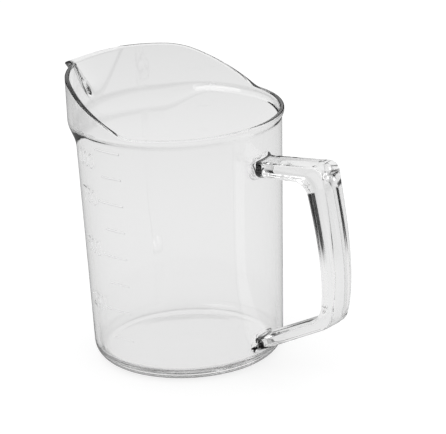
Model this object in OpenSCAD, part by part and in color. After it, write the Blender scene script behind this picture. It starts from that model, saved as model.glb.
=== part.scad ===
// Clear one-litre measuring jug: tapered body, raised flared collar, V-shaped spout and a solid bar handle.
// The axis of the body is Z, the table is z = 0, the handle points along +X and the spout along -X.

/* [Body] */
// Outside diameter that the tapered wall has at the table
foot_d = 103; // [84:1:110]
// Outside diameter at the flare line, where the collar starts to open
flare_d = 111; // [104:1:124]
// Height of the flare line
flare_z = 131; // [124:0.5:150]
// Thickness of the wall
wall_t = 2.4; // [1.6:0.1:3.6]
// Thickness of the floor
floor_t = 5; // [2:0.1:5.5]
// Radius of the rounded outer edge at the foot
foot_edge_r = 9; // [3:0.5:9]
// Radius inside, where the floor meets the wall
floor_fillet_r = 4; // [1:0.1:5]
// Width of the flat ring that the jug stands on
foot_land_w = 4; // [2:0.5:10]
// Depth of the hollow under the floor
foot_recess = 0.5; // [0.3:0.1:2]

/* [Collar] */
// How far below the flare line the collar starts to open at the spout side
flare_drop = 11; // [6:0.5:16]
// How far above the flare line the collar has opened fully
flare_run = 4; // [2:0.5:8]
// How far the collar stands out at the handle side
flare_back = 1; // [0.2:0.1:3]
// How far the collar stands out at the spout side
flare_front = 4; // [1:0.1:6]
// Height of the low rim, at the handle side, above the flare line
low_rim_h = 5.8; // [4:0.1:12]
// Height of the crest, the highest place of the rim, above the flare line
crest_h = 28.8; // [25:0.1:36]
// Where the rim starts to climb, measured from the axis towards the handle
climb_x = 10; // [0:1:24]
// Slope of the climbing rim
climb_angle = 24.5; // [20:0.5:32]
// Slope of the rim along the crest
crest_angle = 6.3; // [2:0.1:10]
// Length over which the rim rounds from the climb into the crest
crest_blend = 2.5; // [1:0.5:8]
// Length over which the rim rounds from the low rim into the climb
climb_blend = 1.5; // [0.5:0.1:4]

/* [Spout] */
// Reach of the tip from the axis of the body
spout_reach = 76.2; // [70:0.1:84]
// Height of the tip above the flare line
spout_tip_h = 22.6; // [19:0.1:24]
// Angle that the spout spreads to at the crest, either side of its middle
spout_angle = 20; // [16:1:23]
// Length over which the flanks of the spout round into the collar
spout_blend = 3; // [1:0.1:6]

/* [Handle] */
// Width of the bar that the handle is made of
handle_w = 16; // [12:0.5:22]
// Thickness of the upper arm
upper_arm_t = 9.4; // [7.5:0.1:12]
// Thickness of the lower arm
lower_arm_t = 7.4; // [7:0.1:10]
// Thickness of the grip at its upper corner
grip_upper_t = 14.8; // [8:0.1:16]
// Thickness of the grip at its lower corner
grip_lower_t = 8.8; // [7.5:0.1:12]
// Reach of the upper outer corner from the axis
upper_reach = 99.8; // [94:0.2:110]
// Reach of the lower outer corner from the axis
lower_reach = 100.8; // [94:0.2:110]
// How far the grip bows outwards between its corners
grip_bow = 5.9; // [0:0.1:8]
// Distance from the flare line down to the upper arm's top, where it meets the wall
upper_arm_drop = 12.5; // [10:0.5:23]
// Rise of the upper arm's top from the wall to the corner
upper_arm_rise = 4.2; // [0:0.1:8]
// Height of the lower arm's underside where it meets the wall
lower_arm_z = 10.6; // [9:0.1:20]
// Rise of the lower arm's underside from the wall to the corner
lower_arm_rise = 23.8; // [10:0.1:34]
// Radius of the upper outer corner
upper_corner_r = 4.5; // [2.5:0.5:8]
// Radius of the lower outer corner
lower_corner_r = 7; // [4:0.5:12]
// Radius of the finger gap's upper corner
upper_finger_r = 7.5; // [2:0.5:8]
// Radius of the finger gap's lower corner
lower_finger_r = 10; // [4:0.5:14]
// Rounding of the bar's edges on the outside of the handle
outer_edge_r = 1.6; // [0.5:0.1:3]
// Rounding of the bar's edges on the finger side
finger_edge_r = 3.2; // [1:0.1:3.4]
// Radius of the fillets where the arms run into the wall
root_r = 3; // [1.5:0.1:3.5]

/* [Scale] */
// Distance from the flare line down to the full line
full_line_gap = 3.8; // [2:0.1:8]
// Number of lines, one at each equal share of the full volume
line_count = 8; // [4:1:16]
// Height of a line
line_h = 1.1; // [0.6:0.1:2]
// How far a line stands out from the wall
line_proud = 0.4; // [0.2:0.1:0.8]
// Angle from the spout's middle to the end of every line
line_end_angle = 95; // [80:1:110]
// Sweep of the lines at odd shares
short_sweep = 14; // [8:1:20]
// Sweep of the lines at even shares
long_sweep = 19; // [12:1:30]

/* [Hidden] */
$fn = 96;

clear_tint = [0.9, 0.92, 0.93, 0.45];
mark_tint = [0.8, 0.83, 0.85, 0.7];

// Heights of the body's own joints. The wall starts as far above the foot's round edge and the inner
// fillet as the hollow is deep.
wall_lean = atan((flare_d - foot_d) / 2 / flare_z);
foot_edge_top = foot_edge_r * (1 - sin(wall_lean));
floor_z = foot_recess + floor_t;
wall_foot_z = max(foot_edge_top, floor_z + floor_fillet_r) + foot_recess;
neck_z = flare_z - flare_drop;
upper_arm_z = flare_z - upper_arm_drop;

// Where the foot ring ends and the floor begins
base_disc_r = foot_d / 2 - foot_edge_r - foot_land_w;

// Angles, either side of the spout's middle, between which the start of the flare climbs to the flare line
flare_level_angle = 70;
flare_low_angle = 40;

// Half angle of the spout's node, which takes a margin of the collar along, and of the region that
// its flanks are tried in
spout_margin_angle = 4;
spout_node_angle = spout_angle + spout_margin_angle;
spout_test_angle = 2 * spout_angle;

// Steps round the collar, across the spout, up their walls, along a corner, along the grip and round an edge
collar_steps = 62;
spout_steps = 24;
wall_steps = 10;
arc_steps = 6;
grip_steps = 10;
edge_steps = 4;

// Shares that round the bottom of the spout's V and of its rim
ridge_round_share = 0.2;
tip_round_share = 0.3;

// Angle of the arch that the rim follows from the tip up to the crest
tip_arch_angle = 60;

// Share of the grip's height, as a power, that sets how low its bow is widest
bow_low_share = 0.68;

// How far an arm runs into the wall before it is cut to the wall's face
root_sink = 5;

// Places along a root fillet, as shares of its radius
root_shares = [0, 0.06, 0.2, 0.45, 1];

// Half a turn, where the spout lies
spout_side = 180;

// A ramp from 0 to 1 that starts and ends level
function ramp(t) =
    let (u = min(max(t, 0), 1))
    u * u * (3 - 2 * u);

// The larger, or the smaller, of two values, rounded over where they differ by less than k
function round_max(a, b, k) = max(a, b) + pow(max(k - abs(a - b), 0), 2) / (4 * k);
function round_min(a, b, k) = -round_max(-a, -b, k);

// Plane vectors
function unit(v) = v / norm(v);
function right_of(v) = [v[1], -v[0]];
function turn_to(from, to) = let (d = to - from) d > 180 ? d - 360 : d < -180 ? d + 360 : d;

// Where the line through p along u meets the line through q along v
function meet(p, u, q, v) =
    p + u * ((q - p) * right_of(v)) / (u * right_of(v));

// Height at x of the line from p to q
function line_z(p, q, x) = p[1] + (q[1] - p[1]) * (x - p[0]) / (q[0] - p[0]);

// Points of an arc about a centre, from one angle to another
function arc(centre, r, from, to, steps) =
    [for (i = [0 : steps]) let (a = from + (to - from) * i / steps) centre + r * [cos(a), sin(a)]];

// Points of the arc that rounds the corner b between a and c
function corner_arc(a, b, c, r, steps) =
    let (u = unit(a - b), v = unit(c - b))
    let (half = acos(u * v) / 2)
    let (centre = b + unit(u + v) * r / sin(half))
    let (p = b + u * r / tan(half) - centre, q = b + v * r / tan(half) - centre)
    let (from = atan2(p[1], p[0]))
    arc(centre, r, from, from + turn_to(from, atan2(q[1], q[0])), steps);

// Outside and inside radius of the tapered wall
function wall_r(z) = (foot_d + (flare_d - foot_d) * z / flare_z) / 2;
function bore_r(z) = wall_r(z) - wall_t;

// Outside radius of the collar without its spout, at an angle from the spout's middle and a height
function collar_r(turn, z) =
    let (reach = flare_back + (flare_front - flare_back) * (1 + cos(turn)) / 2)
    let (low = ramp((flare_level_angle - turn) / (flare_level_angle - flare_low_angle)))
    let (start = flare_z - flare_drop * low)
    wall_r(min(z, flare_z)) + reach * ramp((z - start) / (flare_z + flare_run - start));

// The spout is a V of two flat flanks. Its ridge climbs from the flare line to the tip, and the flanks
// reach the collar at the crest.
ridge_root_r = flare_d / 2;
ridge_slope = (spout_reach - ridge_root_r) / spout_tip_h;
crest_ridge_r = ridge_root_r + ridge_slope * crest_h;
crest_collar_r = collar_r(spout_angle, flare_z + crest_h);
function spread(turn) = norm([sin(turn), ridge_round_share]);
flank_slope = (crest_ridge_r - crest_collar_r * cos(spout_angle))
    / (crest_collar_r * spread(spout_angle) - crest_ridge_r * ridge_round_share);
ridge_scale = 1 + flank_slope * ridge_round_share;
flank_inset = wall_t * norm([1, flank_slope, ridge_scale * ridge_slope]);

function flank_r(turn, z, inset) =
    (ridge_scale * (ridge_root_r + ridge_slope * (z - flare_z)) - inset)
    / (cos(turn) + flank_slope * spread(turn));

// Radius of the collar with its spout. A thickness of zero gives the outside.
function rim_wall_r(turn, z, thickness, inset) =
    let (plain = collar_r(turn, z) - thickness)
    turn < spout_test_angle ? round_max(plain, flank_r(turn, z, inset), spout_blend) : plain;

// Height of the rim above the flare line, at an angle from the spout's middle
mean_rim_r = flare_d / 2 + (flare_back + flare_front) / 2;
function rounded(share) = norm([share, tip_round_share]) - tip_round_share;
function tip_rise(share) = sin(tip_arch_angle * rounded(share) / rounded(1)) / sin(tip_arch_angle);
function rim_h(turn) =
    let (x = -mean_rim_r * cos(turn))
    let (climb = low_rim_h + (climb_x - x) * tan(climb_angle))
    let (crest = crest_h - (x + mean_rim_r) * tan(crest_angle))
    let (dip = 1 - tip_rise(min(turn / spout_angle, 1)))
    round_max(low_rim_h, round_min(climb, crest, crest_blend), climb_blend) - (crest_h - spout_tip_h) * dip;

// One upright section of the collar: up its outside and down its inside
function collar_ring(phi) =
    let (turn = abs(phi - spout_side))
    let (near = min(turn, 360 - turn))
    let (rim_z = flare_z + rim_h(near))
    let (zs = [for (j = [0 : wall_steps]) neck_z + (rim_z - neck_z) * j / wall_steps])
    let (out = [for (z = zs) [rim_wall_r(near, z, 0, 0), z]])
    let (in = [for (j = [wall_steps : -1 : 0]) [rim_wall_r(near, zs[j], wall_t, flank_inset), zs[j]]])
    [for (p = concat(out, in)) [p[0] * cos(phi), p[0] * sin(phi), p[1]]];

// Corners of the handle's outer line, as seen from its side, in x and z
upper_wall_x = wall_r(upper_arm_z - upper_arm_t / 2);
lower_wall_x = wall_r(lower_arm_z + lower_arm_t / 2);
upper_root = [upper_wall_x, upper_arm_z];
upper_corner = [upper_reach, upper_arm_z + upper_arm_rise];
lower_corner = [lower_reach, lower_arm_z + lower_arm_rise];
lower_root = [lower_wall_x, lower_arm_z];
upper_dir = unit(upper_corner - upper_root);
grip_dir = unit(lower_corner - upper_corner);
lower_dir = unit(lower_root - lower_corner);

// Corners of the inner line, which lies a bar's thickness inside the outer line
upper_root_in = upper_root + upper_arm_t * right_of(upper_dir);
lower_root_in = lower_root + lower_arm_t * right_of(lower_dir);
grip_top_in = upper_corner + grip_upper_t * right_of(grip_dir);
grip_foot_in = lower_corner + grip_lower_t * right_of(grip_dir);
grip_in_dir = unit(grip_foot_in - grip_top_in);
upper_corner_in = meet(upper_root_in, upper_dir, grip_top_in, grip_in_dir);
lower_corner_in = meet(lower_root_in, lower_dir, grip_top_in, grip_in_dir);

// Outward bow of the grip at a height
function bowed(p) =
    let (u = (p[1] - lower_corner[1]) / (upper_corner[1] - lower_corner[1]))
    u > 0 && u < 1 ? p + [grip_bow * sin(180 * pow(u, bow_low_share)), 0] : p;

// The grip's line: its upper corner, its length and its lower corner, bowed outwards
function grip_line(root, upper, lower, end, upper_r, lower_r) =
    let (top = corner_arc(root, upper, lower, upper_r, arc_steps))
    let (foot = corner_arc(upper, lower, end, lower_r, arc_steps))
    let (a = top[arc_steps], b = foot[0])
    let (length = [for (i = [1 : grip_steps - 1]) a + (b - a) * i / grip_steps])
    [for (p = concat(top, length, foot)) bowed(p)];
outer_grip = grip_line(upper_root, upper_corner, lower_corner, lower_root, upper_corner_r, lower_corner_r);
inner_grip = grip_line(upper_root_in, upper_corner_in, lower_corner_in, lower_root_in,
    upper_finger_r, lower_finger_r);

// Section of the bar between an outer and an inner point, made wider all round by grow
function bar_ring(outer, inner, grow) =
    let (depth = norm(inner - outer) + 2 * grow)
    let (way = unit(inner - outer))
    let (half = handle_w / 2 + grow)
    [for (q = [0 : 3])
        let (r = grow + (q < 2 ? outer_edge_r : finger_edge_r))
        let (side = q == 1 || q == 2 ? half - r : r - half)
        let (deep = q < 2 ? r : depth - r)
        for (p = arc([side, deep], r, 180 + 90 * q, 270 + 90 * q, edge_steps))
        let (at = outer + way * (p[1] - grow))
        [at[0], p[0], at[1]]];

// Sections of an arm's root at x, wider by a fillet's quarter circle towards the wall
function root_ring(p, q, p_in, q_in, x, s) =
    let (grow = root_r - sqrt(root_r * root_r - pow(root_r - s, 2)))
    bar_ring([x, line_z(p, q, x)], [x, line_z(p_in, q_in, x)], grow);
function root_rings(p, q, p_in, q_in) =
    [root_ring(p, q, p_in, q_in, p[0] - root_sink, 0),
        for (share = root_shares) root_ring(p, q, p_in, q_in, p[0] + root_r * share, root_r * share)];
upper_rings = root_rings(upper_root, upper_corner, upper_root_in, upper_corner_in);
lower_rings = root_rings(lower_root, lower_corner, lower_root_in, lower_corner_in);
grip_rings = [for (i = [0 : len(outer_grip) - 1]) bar_ring(outer_grip[i], inner_grip[i], 0)];
last_root = len(root_shares);
last_grip = len(outer_grip) - 1;

function backwards(list) = [for (i = [len(list) - 1 : -1 : 0]) list[i]];

// Height of the scale line that holds a share of the full volume, from the taper of the bore
full_line_z = flare_z - full_line_gap;
bore_slope = (bore_r(full_line_z) - bore_r(floor_z)) / (full_line_z - floor_z);
function line_height(share) =
    let (low = pow(bore_r(floor_z), 3), high = pow(bore_r(full_line_z), 3))
    bore_slope == 0 ? floor_z + (full_line_z - floor_z) * share
        : floor_z + (pow(low + (high - low) * share, 1 / 3) - bore_r(floor_z)) / bore_slope;

// A solid through a row of closed sections, each with the same number of points
module loft(rings) {
    n = len(rings[0]);
    last = len(rings) - 1;
    sides = [for (i = [0 : last - 1], k = [0 : n - 1])
        let (a = i * n + k, b = i * n + (k + 1) % n)
        each [[a, b, b + n], [a, b + n, a + n]]];
    first_cap = [for (k = [n - 1 : -1 : 0]) k];
    last_cap = [for (k = [0 : n - 1]) last * n + k];
    polyhedron([for (ring = rings) each ring], concat(sides, [first_cap, last_cap]));
}

// The full cone of the wall's outside, for cutting the arms to its face
module wall_cone() {
    cylinder(h = flare_z, d1 = foot_d, d2 = flare_d);
}

// The rounded foot that the jug stands on, with the fillet inside
module foot_ring() {
    edge_x = foot_d / 2 + foot_edge_r * (sin(wall_lean) - 1) / cos(wall_lean);
    fillet_x = bore_r(floor_z + floor_fillet_r) - floor_fillet_r;
    color(clear_tint)
        rotate_extrude()
            polygon(concat(
                [[base_disc_r, 0]],
                arc([edge_x, foot_edge_r], foot_edge_r, -90, -wall_lean, arc_steps),
                [[wall_r(wall_foot_z), wall_foot_z], [bore_r(wall_foot_z), wall_foot_z]],
                arc([fillet_x, floor_z + floor_fillet_r], floor_fillet_r, 0, -90, arc_steps),
                [[base_disc_r, floor_z]]));
}

// The floor, lifted off the table by the foot ring
module base_disc() {
    color(clear_tint)
        translate([0, 0, foot_recess])
            cylinder(h = floor_t, r = base_disc_r);
}

// The tapered wall from the foot to the neck
module body_wall() {
    color(clear_tint)
        rotate_extrude()
            polygon([
                [bore_r(wall_foot_z), wall_foot_z],
                [wall_r(wall_foot_z), wall_foot_z],
                [wall_r(neck_z), neck_z],
                [bore_r(neck_z), neck_z]]);
}

// The flared collar with its slanted rim, from one side of the spout round to the other
module flared_collar() {
    sweep = 360 - 2 * spout_node_angle;
    first = spout_side + spout_node_angle;
    color(clear_tint)
        loft([for (i = [0 : collar_steps]) collar_ring(first + sweep * i / collar_steps)]);
}

// The V-shaped spout with the piece of collar that it grows out of
module pouring_spout() {
    sweep = 2 * spout_node_angle;
    first = spout_side - spout_node_angle;
    color(clear_tint)
        loft([for (i = [0 : spout_steps]) collar_ring(first + sweep * i / spout_steps)]);
}

// The filleted root of the upper arm, cut to the face of the wall
module handle_upper_root() {
    color(clear_tint)
        difference() {
            loft(upper_rings);
            wall_cone();
        }
}

// The upper arm, from its root to the grip's upper corner
module handle_upper_arm() {
    color(clear_tint)
        loft([upper_rings[last_root], grip_rings[0]]);
}

// The bowed grip with both its corners
module handle_grip() {
    color(clear_tint)
        loft(grip_rings);
}

// The lower arm, from the grip's lower corner to its root
module handle_lower_arm() {
    color(clear_tint)
        loft([grip_rings[last_grip], lower_rings[last_root]]);
}

// The filleted root of the lower arm, cut to the face of the wall
module handle_lower_root() {
    color(clear_tint)
        difference() {
            loft(backwards(lower_rings));
            wall_cone();
        }
}

// The raised lines of the measuring scale
module scale_lines() {
    color(mark_tint)
        for (i = [1 : line_count]) {
            low = line_height(i / line_count) - line_h / 2;
            high = low + line_h;
            sweep = i % 2 == 0 ? long_sweep : short_sweep;
            rotate([0, 0, spout_side + line_end_angle - sweep])
                rotate_extrude(angle = sweep)
                    polygon([
                        [wall_r(low), low],
                        [wall_r(low) + line_proud, low],
                        [wall_r(high) + line_proud, high],
                        [wall_r(high), high]]);
        }
}

foot_ring();
base_disc();
body_wall();
flared_collar();
pouring_spout();
handle_upper_root();
handle_upper_arm();
handle_grip();
handle_lower_arm();
handle_lower_root();
scale_lines();
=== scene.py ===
"""The looks of a clear one-litre measuring jug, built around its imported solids.

Everything is in metres in the part's own frame: +Z is up the axis of the body, the table is at
zero, the handle points along +X and the spout along -X. The jug is one moulding of clear plastic,
so its vessel and its handle become one closed skin, and light bends only where plastic meets air.
"""

import logging
from dataclasses import dataclass
from enum import Enum

import bmesh
import bpy
import numpy as np
from mathutils import Matrix, Vector


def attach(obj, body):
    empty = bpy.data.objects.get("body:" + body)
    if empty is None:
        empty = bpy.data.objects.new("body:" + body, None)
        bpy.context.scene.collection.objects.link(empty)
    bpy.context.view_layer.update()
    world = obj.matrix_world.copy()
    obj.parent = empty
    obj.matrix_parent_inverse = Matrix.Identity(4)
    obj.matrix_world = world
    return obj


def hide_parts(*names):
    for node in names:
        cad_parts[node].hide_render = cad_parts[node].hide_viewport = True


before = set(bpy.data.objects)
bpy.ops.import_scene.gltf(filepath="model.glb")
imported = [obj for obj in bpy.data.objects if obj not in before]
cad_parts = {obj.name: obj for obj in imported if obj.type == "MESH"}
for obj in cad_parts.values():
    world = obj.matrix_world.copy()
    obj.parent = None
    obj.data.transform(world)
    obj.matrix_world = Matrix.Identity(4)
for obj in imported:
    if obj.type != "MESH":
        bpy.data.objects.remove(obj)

Array = np.ndarray
Feed = bpy.types.NodeSocket | float
LOG = logging.getLogger("measuring_jug")
BODY = "root"
# Edges that turn by more than these angles are shaded sharp: at the handle's seam, and on the marks
SEAM_ANGLE = float(np.radians(20.0))
MARK_ANGLE = float(np.radians(40.0))
# Edges shorter than this are dissolved after the union
LEAST_EDGE = 1e-6
# A bead's corner is stretched to at most the inverse of this
LEAST_MITRE = 0.5
# After a figure's sharp corner, its bowl goes on from this point, so that its bead doesn't fold
CORNER_SKIP = 3


class Face(Enum):
    """The two faces of the vessel's wall."""

    OUTSIDE = "outside"
    INSIDE = "inside"


class Slot(Enum):
    """The record's material slots."""

    PLASTIC = "clear_plastic"
    MARK = "scale_mark"


class Fade(Enum):
    """How a fade runs between its ends."""

    STRAIGHT = "LINEAR"
    SMOOTH = "SMOOTHSTEP"


def ramp(share: Array) -> Array:
    """Cubic ramp 3u^2 - 2u^3 of a share held between 0 and 1, level at both ends."""
    u = np.clip(share, 0.0, 1.0)
    return u * u * (3.0 - 2.0 * u)


def round_max(a: Array, b: Array, reach: float) -> Array:
    """The larger of two values, rounded by a parabola where they differ by less than the reach."""
    near = np.maximum(reach - np.abs(a - b), 0.0)
    return np.maximum(a, b) + near * near / (4.0 * reach)


def round_min(a: Array, b: Array, reach: float) -> Array:
    """The smaller of two values, rounded in the same way as round_max."""
    return -round_max(-a, -b, reach)


def unit(vector: Array) -> Array:
    """The vector, or each row of an array of vectors, at length 1."""
    return vector / np.linalg.norm(vector, axis=-1, keepdims=True)


def right_of(vector: Array) -> Array:
    """A plane vector turned a quarter to its right."""
    return np.array([vector[1], -vector[0]])


def meet(p: Array, u: Array, q: Array, v: Array) -> Array:
    """Where the line through p along u meets the line through q along v."""
    across = right_of(v)
    return p + u * ((q - p) @ across) / (u @ across)


def arc(centre: Array, radius: float, start: float, end: float, steps: int) -> Array:
    """Points centre + radius * (cos a, sin a) for angles a evenly from start to end."""
    angle = np.linspace(start, end, steps + 1)
    return np.asarray(centre) + radius * np.stack([np.cos(angle), np.sin(angle)], axis=1)


def corner_arc(a: Array, b: Array, c: Array, radius: float, steps: int) -> Array:
    """The arc that rounds corner b between a and c, tangent to both lines.

    Args:
        a: A point before the corner.
        b: The corner.
        c: A point after the corner.
        radius: Radius of the arc.
        steps: Number of steps.

    Returns:
        An array of steps + 1 points.
    """
    u, v = unit(a - b), unit(c - b)
    half = np.arccos(u @ v) / 2.0
    centre = b + unit(u + v) * radius / np.sin(half)
    first = b + u * radius / np.tan(half) - centre
    last = b + v * radius / np.tan(half) - centre
    start = np.arctan2(first[1], first[0])
    turn = np.arctan2(last[1], last[0]) - start
    turn = (turn + np.pi) % (2.0 * np.pi) - np.pi
    return arc(centre, radius, start, start + turn, steps)


def grid_faces(rows: int, columns: int) -> Array:
    """Quads of a grid whose points are numbered row by row, each row closed on itself.

    Args:
        rows: Number of rows.
        columns: Number of points in a row.

    Returns:
        One row of four indices per quad, wound along the row first and then to the next row.
    """
    row = np.arange(rows - 1)[:, None] * columns
    here = np.arange(columns)[None, :]
    after = (here + 1) % columns
    quads = [row + here, row + after, row + columns + after, row + columns + here]
    return np.stack(quads, axis=-1).reshape(-1, 4)


def fan_faces(ring: Array, tip: int, outward: bool) -> Array:
    """Triangles that close a ring of indices on one point.

    Args:
        ring: Indices round the ring.
        tip: Index of the closing point.
        outward: Whether the triangles follow the ring's own direction.

    Returns:
        One row of three indices per triangle.
    """
    after = np.roll(ring, -1)
    middle = np.full_like(ring, tip)
    sides = (ring, after, middle) if outward else (after, ring, middle)
    return np.stack(sides, axis=1)


def tube_faces(rows: int, columns: int) -> tuple[Array, Array]:
    """Faces of a closed tube of rings, whose two closing points come after the rings' points.

    Args:
        rows: Number of rings.
        columns: Number of points in a ring.

    Returns:
        The quads between the rings, and the triangles that close the first and the last ring.
    """
    first = np.arange(columns)
    last = first + (rows - 1) * columns
    tip = rows * columns
    caps = [fan_faces(first, tip, False), fan_faces(last, tip + 1, True)]
    return grid_faces(rows, columns), np.vstack(caps)


def signed_volume(points: Array, quads: Array, tris: Array) -> float:
    """Volume inside a closed mesh, from the sum of a . (b x c) / 6 over its triangles.

    Args:
        points: Corners.
        quads: Four-sided faces.
        tris: Three-sided faces.

    Returns:
        The volume, which is negative where the faces point inwards.
    """
    parts = np.vstack([quads[:, [0, 1, 2]], quads[:, [0, 2, 3]], tris])
    a, b, c = (points[parts[:, k]] for k in range(3))
    return float(np.einsum("ij,ij->i", a, np.cross(b, c)).sum() / 6.0)


def placed(name: str, data: bpy.types.ID) -> bpy.types.Object:
    """A new object of a mesh, lamp or camera, linked to the scene."""
    piece = bpy.data.objects.new(name, data)
    bpy.context.scene.collection.objects.link(piece)
    return piece


def shade_smooth(mesh: bpy.types.Mesh) -> None:
    """Shades every face of a mesh smooth."""
    mesh.polygons.foreach_set("use_smooth", np.ones(len(mesh.polygons), dtype=bool))


def make_piece(name: str, points: Array, quads: Array, tris: Array) -> bpy.types.Object:
    """A mesh object at the origin, its faces turned outwards and shaded smooth.

    Args:
        name: Name of the piece.
        points: Corners, in metres.
        quads: Four-sided faces.
        tris: Three-sided faces.

    Returns:
        The new object, linked to the scene.
    """
    if signed_volume(points, quads, tris) < 0.0:
        quads, tris = quads[:, ::-1], tris[:, ::-1]
    mesh = bpy.data.meshes.new(name)
    mesh.from_pydata(points.tolist(), [], quads.tolist() + tris.tolist())
    shade_smooth(mesh)
    mesh.validate()
    return placed(name, mesh)


def loft(rings: Array) -> tuple[Array, Array, Array]:
    """A closed tube through a row of rings, capped on the middle of its two end rings.

    Args:
        rings: Array of ring, point of the ring and coordinate.

    Returns:
        The points, the quads and the cap triangles.
    """
    ends = [rings[0].mean(axis=0), rings[-1].mean(axis=0)]
    return np.vstack([rings.reshape(-1, 3), *ends]), *tube_faces(*rings.shape[:2])


@dataclass
class Body:
    """The tapered body: rounded foot, hollow base and straight leaning wall."""

    foot_d: float = 0.103
    flare_d: float = 0.111
    flare_z: float = 0.131
    wall_t: float = 0.0024
    floor_t: float = 0.005
    foot_edge_r: float = 0.009
    floor_fillet_r: float = 0.004
    foot_land_w: float = 0.004
    foot_recess: float = 0.0005
    hollow_round_share: float = 0.25
    support_gap: float = 0.00015
    wall_rows: int = 14
    disc_rows: int = 16
    arc_steps: int = 16

    @property
    def lean(self) -> float:
        """Angle of the wall from upright, in radians."""
        return float(np.arctan((self.flare_d - self.foot_d) / 2.0 / self.flare_z))

    @property
    def floor_z(self) -> float:
        """Height of the floor's upper face."""
        return self.foot_recess + self.floor_t

    @property
    def disc_r(self) -> float:
        """Radius of the hollow under the floor."""
        return self.foot_d / 2.0 - self.foot_edge_r - self.foot_land_w

    def wall_r(self, z: Array) -> Array:
        """Outside radius of the wall: a straight line from the table to the flare line."""
        return (self.foot_d + (self.flare_d - self.foot_d) * z / self.flare_z) / 2.0

    def under_profile(self) -> Array:
        """Half section of the underside and the foot, as radius and height.

        A shallow cone with a rounded top, whose depth follows sqrt(u^2 + w^2), u being the share of
        its radius, the flat standing ring, and the foot's round up to where it meets the wall.

        Returns:
            An array of points from near the axis outwards and up.
        """
        disc = np.linspace(self.disc_r / self.disc_rows, self.disc_r, self.disc_rows)
        w = self.hollow_round_share
        fall = (np.hypot(disc / self.disc_r, w) - w) / (np.hypot(1.0, w) - w)
        hollow = np.stack([disc, self.foot_recess * (1.0 - fall)], axis=1)
        edge_r, lean = self.foot_edge_r, self.lean
        edge_x = self.foot_d / 2.0 + edge_r * (np.sin(lean) - 1.0) / np.cos(lean)
        ring = np.array([[edge_x - self.support_gap, 0.0]])
        foot = arc((edge_x, edge_r), edge_r, -np.pi / 2.0, -lean, self.arc_steps)
        return np.vstack([hollow, ring, foot])

    def floor_profile(self) -> Array:
        """Half section of the inside corner and the floor, as radius and height.

        The fillet's round from the wall down to the floor, and the flat floor.

        Returns:
            An array of points from the wall inwards to near the axis.
        """
        fillet_r = self.floor_fillet_r
        fillet_z = self.floor_z + fillet_r
        fillet_x = self.wall_r(fillet_z) - self.wall_t - fillet_r
        fillet = arc((fillet_x, fillet_z), fillet_r, -self.lean, -np.pi / 2.0, self.arc_steps)
        inmost = self.disc_r / self.disc_rows
        disc = np.linspace(fillet_x - self.support_gap, inmost, self.disc_rows)
        return np.vstack([fillet, np.stack([disc, np.full_like(disc, self.floor_z)], axis=1)])


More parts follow.
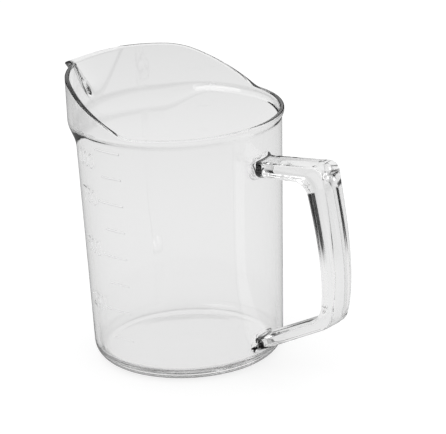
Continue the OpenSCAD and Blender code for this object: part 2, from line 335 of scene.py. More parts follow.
@dataclass
class Collar:
    """The flared collar with its slanted rim and the V-shaped spout that grows out of it."""

    body: Body
    flare_drop: float = 0.011
    flare_run: float = 0.004
    flare_back: float = 0.001
    flare_front: float = 0.004
    low_rim_h: float = 0.0058
    crest_h: float = 0.0288
    climb_x: float = 0.010
    climb_angle: float = float(np.radians(24.5))
    crest_angle: float = float(np.radians(6.3))
    crest_blend: float = 0.0025
    climb_blend: float = 0.0015
    level_angle: float = float(np.radians(70.0))
    low_angle: float = float(np.radians(40.0))
    spout_reach: float = 0.0762
    spout_tip_h: float = 0.0226
    spout_angle: float = float(np.radians(20.0))
    spout_blend: float = 0.003
    ridge_round_share: float = 0.2
    tip_round_share: float = 0.3
    tip_arch: float = float(np.radians(60.0))
    rim_edge_r: float = 0.001
    rows: int = 44
    edge_steps: int = 6

    @property
    def neck_z(self) -> float:
        """Height at which the collar starts."""
        return self.body.flare_z - self.flare_drop

    def plain_r(self, turn: Array, z: Array) -> Array:
        """Outside radius of the collar without its spout.

        The wall's radius plus a reach that is largest at the spout, brought in by a ramp.

        Args:
            turn: Angle from the spout's middle, 0 to half a turn.
            z: Height.

        Returns:
            The radius.
        """
        flare_z = self.body.flare_z
        front = (1.0 + np.cos(turn)) / 2.0
        reach = self.flare_back + (self.flare_front - self.flare_back) * front
        low = ramp((self.level_angle - turn) / (self.level_angle - self.low_angle))
        start = flare_z - self.flare_drop * low
        opened = ramp((z - start) / (flare_z + self.flare_run - start))
        return self.body.wall_r(np.minimum(z, flare_z)) + reach * opened

    def spread(self, turn: Array) -> Array:
        """Sideways share of the spout's V at an angle, rounded at its bottom."""
        return np.hypot(np.sin(turn), self.ridge_round_share)

    def flank_values(self) -> tuple[float, float, float]:
        """Values of the spout's V, from its tip and from where it meets the crest.

        Returns:
            Slope of the ridge, slope of the flanks and scale of the ridge.
        """
        root_r = self.body.flare_d / 2.0
        ridge_slope = (self.spout_reach - root_r) / self.spout_tip_h
        crest_r = root_r + ridge_slope * self.crest_h
        angle = np.float64(self.spout_angle)
        side_r = self.plain_r(angle, np.float64(self.body.flare_z + self.crest_h))
        over = crest_r - side_r * np.cos(angle)
        share = self.ridge_round_share
        flank_slope = over / (side_r * self.spread(angle) - crest_r * share)
        return ridge_slope, float(flank_slope), float(1.0 + flank_slope * share)

    def face_r(self, turn: Array, z: Array, face: Face) -> Array:
        """Radius of the collar with its spout, on one face of the wall.

        The larger of the plain collar and the two flat flanks of the V, blended where they meet.
        The flanks of the inside lie one wall thickness behind the outside's, square to them.

        Args:
            turn: Angle from the spout's middle.
            z: Height.
            face: Which face of the wall.

        Returns:
            The radius.
        """
        ridge_slope, flank_slope, ridge_scale = self.flank_values()
        thickness = self.body.wall_t if face is Face.INSIDE else 0.0
        inset = thickness * np.linalg.norm([1.0, flank_slope, ridge_scale * ridge_slope])
        ridge = self.body.flare_d / 2.0 + ridge_slope * (z - self.body.flare_z)
        flank = (ridge_scale * ridge - inset) / (np.cos(turn) + flank_slope * self.spread(turn))
        plain = self.plain_r(turn, z) - thickness
        blended = round_max(plain, flank, self.spout_blend)
        return np.where(turn < 2.0 * self.spout_angle, blended, plain)

    def rounded(self, share: Array) -> Array:
        """A share with its start rounded, so that the spout's rim is blunt at the tip."""
        return np.hypot(share, self.tip_round_share) - self.tip_round_share

    def rim_z(self, turn: Array) -> Array:
        """Height of the rim: a low rim, a straight climb and a sloping crest, less the spout's dip.

        Args:
            turn: Angle from the spout's middle.

        Returns:
            The height above the table.
        """
        mean_r = self.body.flare_d / 2.0 + (self.flare_back + self.flare_front) / 2.0
        x = -mean_r * np.cos(turn)
        climb = self.low_rim_h + (self.climb_x - x) * np.tan(self.climb_angle)
        crest = self.crest_h - (x + mean_r) * np.tan(self.crest_angle)
        share = self.rounded(np.minimum(turn / self.spout_angle, 1.0)) / self.rounded(1.0)
        rise = np.sin(self.tip_arch * share) / np.sin(self.tip_arch)
        high = round_min(climb, crest, self.crest_blend)
        line = round_max(self.low_rim_h, high, self.climb_blend)
        return self.body.flare_z + line - (self.crest_h - self.spout_tip_h) * (1.0 - rise)

    def section(self, turn: Array) -> tuple[Array, Array]:
        """Radii and heights from the neck up the outside, over the rounded rim and down the inside.

        Args:
            turn: Angle from the spout's middle for each column.

        Returns:
            Radius and height, each with one row per place along the section and one column per
            angle.
        """
        edge = self.rim_edge_r
        top = self.rim_z(turn)
        share = np.linspace(0.0, 1.0, self.rows)[:, None]
        z = self.neck_z + (top - edge - self.neck_z) * share
        out_r, in_r = self.face_r(turn, z, Face.OUTSIDE), self.face_r(turn, z, Face.INSIDE)
        bend = np.linspace(0.0, np.pi / 2.0, self.edge_steps + 1)[1:, None]
        in_by, down_by = edge * (1.0 - np.cos(bend)), edge * (1.0 - np.sin(bend))
        radius = np.vstack([out_r, out_r[-1] - in_by, in_r[-1] + in_by[::-1], in_r[::-1]])
        return radius, np.vstack([z, top - down_by, top - down_by[::-1], z[::-1]])


@dataclass
class Vessel:
    """The whole vessel as one closed skin, from the underside over the rim to the floor."""

    body: Body
    collar: Collar
    columns: int = 400
    spout_crowding: float = 0.7

    def turns(self) -> Array:
        """Signed angles pi * t - crowding * sin(pi * t), t from -1 to 1, dense at the spout."""
        t = np.arange(self.columns) * 2.0 / self.columns - 1.0
        return np.pi * t - self.spout_crowding * np.sin(np.pi * t)

    def build(self) -> bpy.types.Object:
        """Carries the half section round the axis, with the collar's own radius at each angle.

        Returns:
            The vessel's object.
        """
        body, neck_z = self.body, self.collar.neck_z
        signed = self.turns()
        wide = np.ones_like(signed)
        under, floor = body.under_profile(), body.floor_profile()
        rim_r, rim_h = self.collar.section(np.abs(signed))
        share = np.linspace(0.0, 1.0, body.wall_rows + 1)[1:-1]
        up = under[-1, 1] + (neck_z - under[-1, 1]) * share
        down = neck_z + (floor[0, 1] - neck_z) * share
        outer = np.concatenate([under, np.stack([body.wall_r(up), up], axis=1)])
        inner = np.concatenate([np.stack([body.wall_r(down) - body.wall_t, down], axis=1), floor])
        radius, height = (
            np.vstack([np.outer(outer[:, k], wide), rim, np.outer(inner[:, k], wide)])
            for k, rim in enumerate((rim_r, rim_h)))
        phi = signed + np.pi
        grid = np.stack([radius * np.cos(phi), radius * np.sin(phi), height], axis=-1)
        poles = np.array([[0.0, 0.0, body.foot_recess], [0.0, 0.0, body.floor_z]])
        points = np.vstack([grid.reshape(-1, 3), poles])
        return make_piece("vessel", points, *tube_faces(*radius.shape))


@dataclass
class Handle:
    """The closed handle: a bar of rounded section swept along two arms and a bowed grip."""

    body: Body
    width: float = 0.016
    upper_arm_t: float = 0.0094
    lower_arm_t: float = 0.0074
    grip_upper_t: float = 0.0148
    grip_lower_t: float = 0.0088
    upper_reach: float = 0.0998
    lower_reach: float = 0.1008
    grip_bow: float = 0.0059
    bow_low_share: float = 0.68
    upper_arm_drop: float = 0.0125
    upper_arm_rise: float = 0.0042
    lower_arm_z: float = 0.0106
    lower_arm_rise: float = 0.0238
    upper_corner_r: float = 0.0045
    lower_corner_r: float = 0.007
    upper_finger_r: float = 0.0075
    lower_finger_r: float = 0.010
    outer_edge_r: float = 0.0016
    finger_edge_r: float = 0.0032
    outer_crown: float = 0.0002
    finger_crown: float = 0.0007
    root_r: float = 0.003
    root_start: float = float(np.radians(26.0))
    root_sink: float = 0.0011
    root_steps: int = 10
    arm_steps: int = 8
    arc_steps: int = 18
    grip_steps: int = 48
    edge_steps: int = 8
    face_steps: int = 12

    def corners(self) -> tuple[Array, Array]:
        """Corners of the outer and of the inner line, in x and z, from upper to lower root.

        The inner line lies one thickness inside the outer one, and its corners are where its
        straight lengths meet.

        Returns:
            Two arrays of four points.
        """
        body = self.body
        upper_z = body.flare_z - self.upper_arm_drop
        a = np.array([body.wall_r(upper_z - self.upper_arm_t / 2.0), upper_z])
        b = np.array([self.upper_reach, upper_z + self.upper_arm_rise])
        c = np.array([self.lower_reach, self.lower_arm_z + self.lower_arm_rise])
        d = np.array([body.wall_r(self.lower_arm_z + self.lower_arm_t / 2.0), self.lower_arm_z])
        upper, grip, lower = unit(b - a), unit(c - b), unit(d - c)
        a_in = a + self.upper_arm_t * right_of(upper)
        d_in = d + self.lower_arm_t * right_of(lower)
        top_in = b + self.grip_upper_t * right_of(grip)
        along = unit(c + self.grip_lower_t * right_of(grip) - top_in)
        b_in = meet(a_in, upper, top_in, along)
        c_in = meet(d_in, lower, top_in, along)
        return np.array([a, b, c, d]), np.array([a_in, b_in, c_in, d_in])

    def bowed(self, points: Array, low: float, high: float) -> Array:
        """Moves points outwards by bow * sin(pi * u^power), u being their share of the height.

        Args:
            points: Points in x and z.
            low: Height of the grip's lower end.
            high: Height of its upper end.

        Returns:
            The moved points.
        """
        share = np.clip((points[:, 1] - low) / (high - low), 0.0, 1.0)
        push = self.grip_bow * np.sin(np.pi * share ** self.bow_low_share)
        return points + np.stack([push, np.zeros_like(push)], axis=1)

    def line(self, corner: Array, upper_r: float, lower_r: float, outer: Array) -> Array:
        """One side line of the grip: upper corner, straight length and lower corner, bowed.

        Args:
            corner: The line's four corners.
            upper_r: Radius at the upper corner.
            lower_r: Radius at the lower corner.
            outer: The outer line's corners, between whose heights the grip bows.

        Returns:
            The line's points.
        """
        top = corner_arc(corner[0], corner[1], corner[2], upper_r, self.arc_steps)
        foot = corner_arc(corner[1], corner[2], corner[3], lower_r, self.arc_steps)
        share = np.linspace(0.0, 1.0, self.grip_steps + 1)[1:-1, None]
        straight = top[-1] + (foot[0] - top[-1]) * share
        return self.bowed(np.vstack([top, straight, foot]), outer[2, 1], outer[1, 1])

    def ring(self, outer: Array, inner: Array, grow: Array) -> Array:
        """Sections of the bar between pairs of outer and inner points, wider all round by grow.

        Each is a rectangle with four rounded corners. Its outer and its finger face are crowned:
        they fall back from their middle line by crown * (y / half width)^2.

        Args:
            outer: Points of the outer line, in x and z.
            inner: Points of the inner line.
            grow: How much wider each section is.

        Returns:
            An array of section, point and coordinate.
        """
        depth = np.linalg.norm(inner - outer, axis=1) + 2.0 * grow
        way = unit(inner - outer)
        half = self.width / 2.0 + grow
        flat = np.linspace(0.0, 1.0, self.face_steps + 1)[1:-1]
        bend = np.linspace(0.0, 1.0, self.edge_steps + 1)
        rows = []
        for quarter in range(4):
            on_outer = quarter < 2
            r = grow + (self.outer_edge_r if on_outer else self.finger_edge_r)
            side = half - r if quarter in (1, 2) else r - half
            deep = r if on_outer else depth - r
            angle = np.pi + np.pi / 2.0 * (quarter + bend)
            across = side[:, None] + r[:, None] * np.cos(angle)
            inward = deep[:, None] + r[:, None] * np.sin(angle)
            if quarter in (0, 2):
                across = np.hstack([across, side[:, None] * (1.0 - 2.0 * flat)])
                inward = np.hstack([inward, np.repeat(inward[:, -1:], len(flat), axis=1)])
            fall = (across / half[:, None]) ** 2
            inward = inward + (self.outer_crown if on_outer else -self.finger_crown) * fall
            at = outer[:, None, :] + way[:, None, :] * (inward - grow[:, None])[:, :, None]
            rows.append(np.stack([at[..., 0], across, at[..., 1]], axis=-1))
        return np.concatenate(rows, axis=1)

    def root(self, corner: Array, corner_in: Array, first: int, after: int) -> Array:
        """Sections of a root: a fillet that swells towards the wall and follows its face.

        A point at distance s from the wall is wider by root_r - root_r * sin(a), where s is
        root_r * (cos(start) - cos(a)), and the nearer to the wall, the more it takes on its curve.

        Args:
            corner: Corners of the outer line.
            corner_in: Corners of the inner line.
            first: Index of the root's corner.
            after: Index of the corner that the arm runs to.

        Returns:
            The sections, from inside the wall to the arm.
        """
        angle = np.linspace(self.root_start, np.pi / 2.0, self.root_steps + 1)
        off = self.root_r * (np.cos(self.root_start) - np.cos(angle))
        grow = self.root_r * (1.0 - np.sin(angle))
        off, grow = np.append(-self.root_sink, off), np.append(grow[0], grow)
        wall_x = corner[first, 0]

        def on_line(p: Array, q: Array) -> Array:
            """Points of the line from p to q at the sections' own x."""
            x = wall_x + off
            return np.stack([x, p[1] + (q[1] - p[1]) * (x - p[0]) / (q[0] - p[0])], axis=1)

        outer, inner = (on_line(line[first], line[after]) for line in (corner, corner_in))
        rings = self.ring(outer, inner, grow)
        face_x = np.sqrt(self.body.wall_r(rings[..., 2]) ** 2 - rings[..., 1] ** 2)
        share = np.clip(1.0 - off / self.root_r, 0.0, 1.0)[:, None]
        rings[..., 0] += (face_x - wall_x) * share
        return rings

    def build(self) -> bpy.types.Object:
        """Sweeps the section out of the wall, along both arms and the grip, and back in.

        Returns:
            The handle's object.
        """
        corner, corner_in = self.corners()
        outer = self.line(corner, self.upper_corner_r, self.lower_corner_r, corner)
        inner = self.line(corner_in, self.upper_finger_r, self.lower_finger_r, corner)
        grip = self.ring(outer, inner, np.zeros(len(outer)))
        upper = self.root(corner, corner_in, 0, 1)
        lower = self.root(corner, corner_in, 3, 2)[::-1]
        share = np.linspace(0.0, 1.0, self.arm_steps + 1)[1:-1, None, None]
        upper_arm = upper[-1] + (grip[0] - upper[-1]) * share
        lower_arm = grip[-1] + (lower[0] - grip[-1]) * share
        rings = np.concatenate([upper, upper_arm, grip, lower_arm, lower])
        return make_piece("handle", *loft(rings))


def joined(name: str, first: bpy.types.Object, second: bpy.types.Object) -> bpy.types.Object:
    """One closed skin round two overlapping solids, which are then removed.

    Faces without area are dissolved, and the seam is kept sharp, so that it doesn't bend the
    wall's shading.

    Args:
        name: Name of the new piece.
        first: One solid.
        second: The other.

    Returns:
        The joined piece.
    """
    union = first.modifiers.new("union", "BOOLEAN")
    union.operation, union.solver, union.object = "UNION", "MANIFOLD", second
    shown = first.evaluated_get(bpy.context.evaluated_depsgraph_get())
    mesh = bpy.data.meshes.new_from_object(shown)
    mesh.name = name
    clean = bmesh.new()
    clean.from_mesh(mesh)
    bmesh.ops.dissolve_degenerate(clean, dist=LEAST_EDGE, edges=clean.edges)
    clean.to_mesh(mesh)
    clean.free()
    shade_smooth(mesh)
    mesh.set_sharp_from_angle(angle=SEAM_ANGLE)
    piece = placed(name, mesh)
    for used in (first, second):
        bpy.data.meshes.remove(used.data)
    return piece


class Wiring:
    """A node tree with short ways to add nodes, fed by plain values or by other nodes."""

    def __init__(self, tree: bpy.types.NodeTree) -> None:
        """Empties the tree and keeps it."""
        self.tree = tree
        tree.nodes.clear()

    def add(self, kind: str, feeds: dict | None = None, **settings: object) -> bpy.types.Node:
        """Adds a node.

        Args:
            kind: Blender's name for the node.
            feeds: Values of its inputs, or the outputs that feed them, by name or number.
            **settings: The node's own properties.

        Returns:
            The new node.
        """
        node = self.tree.nodes.new(kind)
        for name, value in settings.items():
            setattr(node, name, value)
        for name, feed in (feeds or {}).items():
            if isinstance(feed, bpy.types.NodeSocket):
                self.tree.links.new(feed, node.inputs[name])
            else:
                node.inputs[name].default_value = feed
        return node

    def math(self, operation: str, first: Feed, second: Feed) -> bpy.types.NodeSocket:
        """What an operation, such as a product, makes of two values."""
        return self.add("ShaderNodeMath", {0: first, 1: second}, operation=operation).outputs[0]

    def fade(self, value: bpy.types.NodeSocket, tones: tuple[Feed, Feed],
             over: tuple[float, float] = (0.0, 1.0), run: Fade = Fade.SMOOTH,
             ) -> bpy.types.NodeSocket:
        """A fade from one tone to another as a value crosses a range.

        Args:
            value: The value.
            tones: The tones at the range's two ends.
            over: The range.
            run: How the fade runs.

        Returns:
            The faded tone.
        """
        feeds = {"Value": value, "From Min": over[0], "From Max": over[1],
                 "To Min": tones[0], "To Max": tones[1]}
        node = self.add("ShaderNodeMapRange", feeds, interpolation_type=run.value)
        return node.outputs["Result"]


@dataclass(frozen=True)
class MouldedSkin:
    """What every moulded surface shares: slow waves of the tool's polish, and handling haze."""

    name: str = "moulded_skin"
    wave_scale: float = 38.0
    wave_detail: float = 1.5
    wave_roughness: float = 0.4
    scuff_scale: float = 420.0
    scuff_detail: float = 3.0
    scuff_share: float = 0.04
    haze_range: tuple[float, float] = (0.42, 0.7)

    def group(self) -> bpy.types.NodeTree:
        """The node group, made once: a roughness between two values, and a height for bump.

        Returns:
            The group's tree.
        """
        found = bpy.data.node_groups.get(self.name)
        if found is not None:
            return found
        tree = bpy.data.node_groups.new(self.name, "ShaderNodeTree")
        sockets = {"INPUT": ("Smooth", "Hazy"), "OUTPUT": ("Roughness", "Height")}
        for way, names in sockets.items():
            for name in names:
                tree.interface.new_socket(name, in_out=way, socket_type="NodeSocketFloat")
        wires = Wiring(tree)
        given = wires.add("NodeGroupInput").outputs
        place = wires.add("ShaderNodeTexCoord").outputs["Object"]
        waves = wires.add("ShaderNodeTexNoise", {
            "Vector": place, "Scale": self.wave_scale, "Detail": self.wave_detail,
            "Roughness": self.wave_roughness}).outputs[0]
        scuffs = wires.add("ShaderNodeTexNoise", {
            "Vector": place, "Scale": self.scuff_scale, "Detail": self.scuff_detail}).outputs[0]
        ends = (given["Smooth"], given["Hazy"])
        haze = wires.fade(waves, ends, self.haze_range, Fade.STRAIGHT)
        height = wires.math("ADD", waves, wires.math("MULTIPLY", scuffs, self.scuff_share))
        wires.add("NodeGroupOutput", {"Roughness": haze, "Height": height})
        return tree


@dataclass(frozen=True)
class ClearPlastic:
    """Clear moulded plastic: it bends and mirrors light, and its shadow lets lamplight through."""

    name: str
    tint: tuple[float, float, float] = (0.989, 0.989, 0.989)
    ior: float = 1.57
    smooth: float = 0.0
    hazy: float = 0.02
    bump: float = 0.00003
    shade: float = 0.965
    skin: MouldedSkin = MouldedSkin()

    def material(self) -> bpy.types.Material:
        """One clear shader, swapped for plain see-through only where a lamp's shadow is worked out.

        Returns:
            The material.
        """
        material = bpy.data.materials.new(self.name)
        material.use_nodes = True
        wires = Wiring(material.node_tree)
        feeds = {"Smooth": self.smooth, "Hazy": self.hazy}
        skin = wires.add("ShaderNodeGroup", feeds, node_tree=self.skin.group()).outputs
        bump = wires.add("ShaderNodeBump", {
            "Strength": 1.0, "Distance": self.bump, "Height": skin["Height"]})
        shader = wires.add("ShaderNodeBsdfPrincipled", {
            "Base Color": (*self.tint, 1.0), "IOR": self.ior, "Transmission Weight": 1.0,
            "Roughness": skin["Roughness"], "Normal": bump.outputs["Normal"]})
        clear = wires.add("ShaderNodeBsdfTransparent", {
            "Color": (self.shade, self.shade, self.shade, 1.0)})
        mix = wires.add("ShaderNodeMixShader", {
            0: wires.add("ShaderNodeLightPath").outputs["Is Shadow Ray"],
            1: shader.outputs["BSDF"], 2: clear.outputs["BSDF"]})
        wires.add("ShaderNodeOutputMaterial", {"Surface": mix.outputs["Shader"]})
        return material


POLISHED = ClearPlastic("clear_plastic")
FROSTED = ClearPlastic("frosted_mark", ior=1.35, smooth=0.1, hazy=0.2, bump=0.00006)


def dress(piece: bpy.types.Object, finish: ClearPlastic,
          nodes: tuple[str, ...]) -> None:
    """Gives a piece its finish and its body, and hides the imported parts that it stands for.

    Args:
        piece: The piece.
        finish: Its finish.
        nodes: Nodes that the piece replaces, if any.
    """
    piece.data.materials.clear()
    piece.data.materials.append(finish.material())
    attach(piece, BODY)
    if nodes:
        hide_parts(*nodes)
    LOG.info("%s has %d faces", piece.name, len(piece.data.polygons))


@dataclass
class Jug:
    """The jug's one moulding: vessel and handle joined into one skin."""

    body: Body
    nodes: tuple[str, ...] = (
        "foot_ring", "base_disc", "body_wall", "flared_collar", "pouring_spout",
        "handle_upper_root", "handle_upper_arm", "handle_grip", "handle_lower_arm",
        "handle_lower_root")

    def build(self) -> None:
        """Builds the vessel and the handle, joins them and dresses the moulding."""
        vessel = Vessel(self.body, Collar(self.body)).build()
        handle = Handle(self.body).build()
        dress(joined("clear_moulding", vessel, handle), POLISHED, self.nodes)


def bead(path: Array, width: float, proud: float, sides: int) -> Array:
    """Half-round bead along a flat path.

    Each section is (w/2 * cos a, h * sin a) for a from 0 to half a turn, set across the path and
    stretched at its corners so that the bead keeps its width.

    Args:
        path: Points of the path, along and up.
        width: Width of the bead.
        proud: Height of the bead.
        sides: Steps round its top.

    Returns:
        An array of section, point and coordinate: along, up and off the wall.
    """
    step = unit(np.diff(path, axis=0))
    before, after = np.vstack([step[:1], step]), np.vstack([step, step[-1:]])
    middle = unit(before + after)
    across = np.stack([-middle[:, 1], middle[:, 0]], axis=1)
    stretch = 1.0 / np.maximum(np.einsum("ij,ij->i", middle, before), LEAST_MITRE)
    angle = np.linspace(0.0, np.pi, sides + 1)
    reach = width / 2.0 * stretch[:, None] * np.cos(angle)
    flat = path[:, None, :] + across[:, None, :] * reach[:, :, None]
    off = np.broadcast_to(proud * np.sin(angle), reach.shape)
    return np.concatenate([flat, off[:, :, None]], axis=2)


def figure_stroke(figure: str) -> Array:
    """The single stroke of a figure, in a cell 0.6 wide and 1 high, from arcs and straight lines.

    Args:
        figure: One of 0, 1, 2, 5 and 7.

    Returns:
        The stroke's points.
    """
    quarter = np.pi / 2.0
    if figure == "0":
        turn = np.linspace(0.0, 4.0 * quarter, 41) + quarter
        return np.stack([0.3 + 0.3 * np.cos(turn), 0.5 + 0.5 * np.sin(turn)], axis=1)
    if figure == "1":
        return np.array([[0.1, 0.8], [0.34, 1.0], [0.34, 0.0]])
    if figure == "2":
        top = arc((0.3, 0.71), 0.29, 1.85 * quarter, -0.42 * quarter, 18)
        return np.vstack([top, [[0.02, 0.0], [0.6, 0.0]]])
    if figure == "5":
        bowl = arc((0.27, 0.33), 0.33, 1.45 * quarter, -1.55 * quarter, 22)
        return np.vstack([[[0.54, 1.0], [0.1, 1.0]], bowl[:1], bowl[CORNER_SKIP:]])
    return np.array([[0.0, 1.0], [0.6, 1.0], [0.22, 0.0]])


def merged(name: str, beads: list[Array]) -> bpy.types.Object:
    """One piece from several beads, each closed, with crisp edges where they meet the wall.

    Args:
        name: Name of the piece.
        beads: Sections of each bead.

    Returns:
        The piece.
    """
    parts = [loft(sections) for sections in beads]
    start = np.cumsum([0] + [len(points) for points, _, _ in parts[:-1]])
    points = np.vstack([points for points, _, _ in parts])
    quads = np.vstack([quads + first for (_, quads, _), first in zip(parts, start)])
    tris = np.vstack([tris + first for (_, _, tris), first in zip(parts, start)])
    piece = make_piece(name, points, quads, tris)
    piece.data.set_sharp_from_angle(angle=MARK_ANGLE)
    return piece


@dataclass
class Scale:
    """The raised scale: a line for each eighth of the whole, a number at every second one."""

    body: Body
    full_gap: float = 0.0038
    count: int = 8
    line_h: float = 0.0011
    line_proud: float = 0.00026
    figure_proud: float = 0.00018
    end: float = float(np.radians(275.0))
    short_sweep: float = float(np.radians(14.0))
    long_sweep: float = float(np.radians(19.0))
    skin_gap: float = 0.00002
    line_steps: int = 28
    bead_sides: int = 8
    figure_h: float = 0.0074
    figure_step: float = 0.0053
    stroke_w: float = 0.0009
    number_right: float = float(np.radians(254.5))
    numbers: tuple[tuple[str, float], ...] = (
        ("250", 0.0386), ("500", 0.0701), ("750", 0.0987), ("1000", 0.1193))

    def height(self, share: Array) -> Array:
        """Height at which a share of the full volume stands in the tapered bore, as in a cut cone.

        The radius cubed grows in a straight line with volume, so the height follows its cube root.

        Args:
            share: Shares of the full volume.

        Returns:
            Heights above the table.
        """
        low_z, full_z = self.body.floor_z, self.body.flare_z - self.full_gap
        low, high = (self.body.wall_r(z) - self.body.wall_t for z in (low_z, full_z))
        slope = (high - low) / (full_z - low_z)
        return low_z + (np.cbrt(low ** 3 + (high ** 3 - low ** 3) * share) - low) / slope

    def wrapped(self, sections: Array, angle: float, z: float) -> Array:
        """Lays flat sections on the wall: along becomes an angle, up a height, off a radius.

        Args:
            sections: Section, point and coordinate: along, up and off the wall.
            angle: Angle round the axis where along is 0.
            z: Height where up is 0.

        Returns:
            The sections in space.
        """
        up = z + sections[..., 1]
        radius = self.body.wall_r(up) + self.skin_gap + sections[..., 2]
        turn = angle + sections[..., 0] / self.body.wall_r(z)
        return np.stack([radius * np.cos(turn), radius * np.sin(turn), up], axis=-1)

    def lines(self) -> bpy.types.Object:
        """Builds the raised lines, every second one longer.

        Returns:
            One piece of all the lines.
        """
        beads = []
        for index in range(1, self.count + 1):
            sweep = self.short_sweep if index % 2 else self.long_sweep
            z = float(self.height(np.float64(index / self.count)))
            along = np.linspace(-sweep, 0.0, self.line_steps + 1) * self.body.wall_r(z)
            path = np.stack([along, np.zeros_like(along)], axis=1)
            sections = bead(path, self.line_h, self.line_proud, self.bead_sides)
            beads.append(self.wrapped(sections, self.end, z))
        return merged("raised_lines", beads)

    def figures(self) -> bpy.types.Object:
        """Builds the raised plain numbers, which all end at the same angle.

        Returns:
            One piece of all the numbers.
        """
        beads = []
        for number, z in self.numbers:
            left = -self.figure_step * len(number)
            for place, figure in enumerate(number):
                corner = np.array([left + place * self.figure_step, -self.figure_h / 2.0])
                path = figure_stroke(figure) * self.figure_h + corner
                sections = bead(path, self.stroke_w, self.figure_proud, self.bead_sides)
                beads.append(self.wrapped(sections, self.number_right, z))
        return merged("raised_numbers", beads)

    def build(self) -> None:
        """Builds and dresses the lines and the numbers."""
        dress(self.lines(), FROSTED, ("scale_lines",))
        dress(self.figures(), FROSTED, ())


@dataclass(frozen=True)
class PaleFloor:
    """A plain pale floor: white to the eye and a shade greyer through the plastic.

    Through the plastic it is painted fully bright right under the jug, which lifts the base, and
    painted greyer further away, a painted fall-off of light. Light that was turned back in or on
    the plastic
    sees a painted pool of light: bright near the jug and dark away from it, as in a studio where
    only the ground near the object is lit, and that draws the jug's edges.
    """

    name: str = "pale_floor"
    # Painted light: the tone right under the jug, out to under_r and gone by clear_r, seen through
    # the plastic
    under: float = 1.0
    under_r: float = 0.044
    clear_r: float = 0.062
    grey: float = 0.835
    far_grey: float = 0.7
    grey_r: float = 0.05
    far_r: float = 0.75
    unlit: float = 0.02
    lit_r: float = 0.35
    dark_r: float = 1.0
    mirrored: float = 0.25
    glow: float = 0.79
    soft: float = 0.3

    def material(self) -> bpy.types.Material:
        """Light of its own plus a share of plain diffuse, which carries the shadow.

        Returns:
            The material.
        """
        material = bpy.data.materials.new(self.name)
        material.use_nodes = True
        wires = Wiring(material.node_tree)
        place = wires.add("ShaderNodeNewGeometry").outputs["Position"]
        away = wires.add("ShaderNodeVectorMath", {0: place}, operation="LENGTH").outputs["Value"]
        path = wires.add("ShaderNodeLightPath").outputs
        # Painted fall-off of light: seen through the plastic, the floor is painted greyer further
        # from the jug
        through = wires.fade(away, (self.grey, self.far_grey), (self.grey_r, self.far_r))
        # Painted light: right under the jug the floor is painted fully bright to rays through the
        # plastic, which lifts the base
        painted_light_below = wires.fade(away, (self.under, 0.0), (self.under_r, self.clear_r))
        # Painted pool of light for turned-back rays: bright near the jug, nearly black away from
        # it, which draws dark edges in the plastic
        turned = wires.fade(away, (self.grey, self.unlit), (self.lit_r, self.dark_r))
        mirror = wires.fade(path["Is Transmission Ray"], (self.mirrored, 1.0), run=Fade.STRAIGHT)
        seen = wires.add("ShaderNodeMix", {
            0: path["Glossy Depth"], 2: wires.math("MAXIMUM", through, painted_light_below),
            3: wires.math("MULTIPLY", turned, mirror)}, data_type="FLOAT").outputs[0]
        tone = wires.math("MAXIMUM", seen, path["Is Camera Ray"])
        light = wires.add("ShaderNodeEmission", {
            "Strength": wires.math("MULTIPLY", tone, self.glow)})
        matt = wires.add("ShaderNodeBsdfDiffuse", {
            "Color": wires.math("MULTIPLY", tone, self.soft)})
        both = wires.add("ShaderNodeAddShader", {0: light.outputs[0], 1: matt.outputs[0]})
        wires.add("ShaderNodeOutputMaterial", {"Surface": both.outputs[0]})
        return material


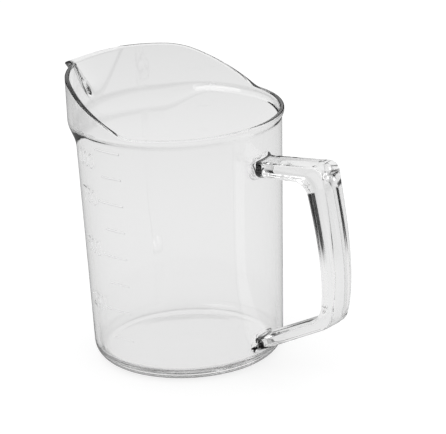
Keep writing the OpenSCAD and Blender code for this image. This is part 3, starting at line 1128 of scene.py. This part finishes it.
@dataclass
class Studio:
    """Camera, pale floor, soft light and backdrop."""

    eye: tuple[float, float, float] = (0.8131, -0.9699, 0.5171)
    look: tuple[float, float, float] = (-0.594, 0.7335, -0.330)
    roll: float = -0.0448
    lens: float = 199.7
    sensor: float = 36.0
    clip: tuple[float, float] = (0.05, 100.0)
    floor_half: float = 30.0
    floor_drop: float = 0.00005
    dark: float = 0.02
    haze: float = 0.76
    bright: float = 0.85
    dark_top: float = 0.1
    bright_bottom: float = 0.24
    lamp_at: tuple[float, float, float] = (-0.5, -0.6, 1.5)
    lamp_size: float = 0.9
    lamp_power: float = 4.0
    bounces: int = 32
    mirror_bounces: int = 16
    see_through_bounces: int = 24

    def camera(self) -> None:
        """Sets the camera at the photograph's place, rolled about its own line of sight."""
        data = bpy.data.cameras.new("camera")
        data.lens, data.sensor_width = self.lens, self.sensor
        data.clip_start, data.clip_end = self.clip
        look = Vector(self.look).normalized()
        right = look.cross(Vector((0.0, 0.0, 1.0))).normalized()
        up = right.cross(look)
        side = right * float(np.cos(self.roll)) + up * float(np.sin(self.roll))
        turn = Matrix((side, side.cross(look), -look)).transposed()
        camera = placed("camera", data)
        camera.matrix_world = Matrix.Translation(self.eye) @ turn.to_4x4()
        bpy.context.scene.camera = camera

    def floor(self) -> None:
        """Lays the floor just under the table's height, so that no two faces share a plane."""
        half, z = self.floor_half, -self.floor_drop
        corners = [(-half, -half, z), (half, -half, z), (half, half, z), (-half, half, z)]
        mesh = bpy.data.meshes.new("floor")
        mesh.from_pydata(corners, [], [[0, 1, 2, 3]])
        mesh.materials.append(PaleFloor().material())
        placed("floor", mesh)

    def lamp(self) -> None:
        """A soft square lamp above the jug, turned towards it."""
        data = bpy.data.lights.new("softbox", "AREA")
        data.size, data.energy = self.lamp_size, self.lamp_power
        lamp = placed("softbox", data)
        lamp.location = self.lamp_at
        lamp.rotation_euler = (-Vector(self.lamp_at)).to_track_quat("-Z", "Y").to_euler()
        lamp.visible_camera = False

    def world(self) -> None:
        """A backdrop, white to the eye, pale through the plastic, and dark low down in mirrors."""
        world = bpy.data.worlds.new("studio")
        bpy.context.scene.world = world
        world.use_nodes = True
        wires = Wiring(world.node_tree)
        place = wires.add("ShaderNodeTexCoord").outputs["Generated"]
        up = wires.add("ShaderNodeSeparateXYZ", {0: place}).outputs["Z"]
        path = wires.add("ShaderNodeLightPath").outputs
        turned = wires.fade(up, (self.dark, self.bright), (self.dark_top, self.bright_bottom))
        through = wires.fade(path["Glossy Depth"], (self.haze, 0.0), run=Fade.STRAIGHT)
        seen = wires.math("MAXIMUM", turned, through)
        back = wires.add("ShaderNodeBackground", {
            "Color": (1.0, 1.0, 1.0, 1.0),
            "Strength": wires.math("MAXIMUM", seen, path["Is Camera Ray"])})
        wires.add("ShaderNodeOutputWorld", {"Surface": back.outputs[0]})

    def build(self) -> None:
        """Builds camera, floor, lamp and backdrop, and sets how light is followed."""
        self.camera()
        self.floor()
        self.lamp()
        self.world()
        scene = bpy.context.scene
        scene.view_settings.view_transform = "Standard"
        scene.cycles.max_bounces = self.bounces
        scene.cycles.transmission_bounces = self.bounces
        scene.cycles.glossy_bounces = self.mirror_bounces
        scene.cycles.transparent_max_bounces = self.see_through_bounces
        scene.cycles.caustics_reflective = False
        scene.cycles.caustics_refractive = False


def main() -> None:
    """Builds the studio, the moulding and the scale, and logs each piece."""
    logging.basicConfig(level=logging.INFO, format="%(name)s: %(message)s")
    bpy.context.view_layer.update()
    Studio().build()
    body = Body()
    Jug(body).build()
    Scale(body).build()


if __name__ == "__main__":
    main()
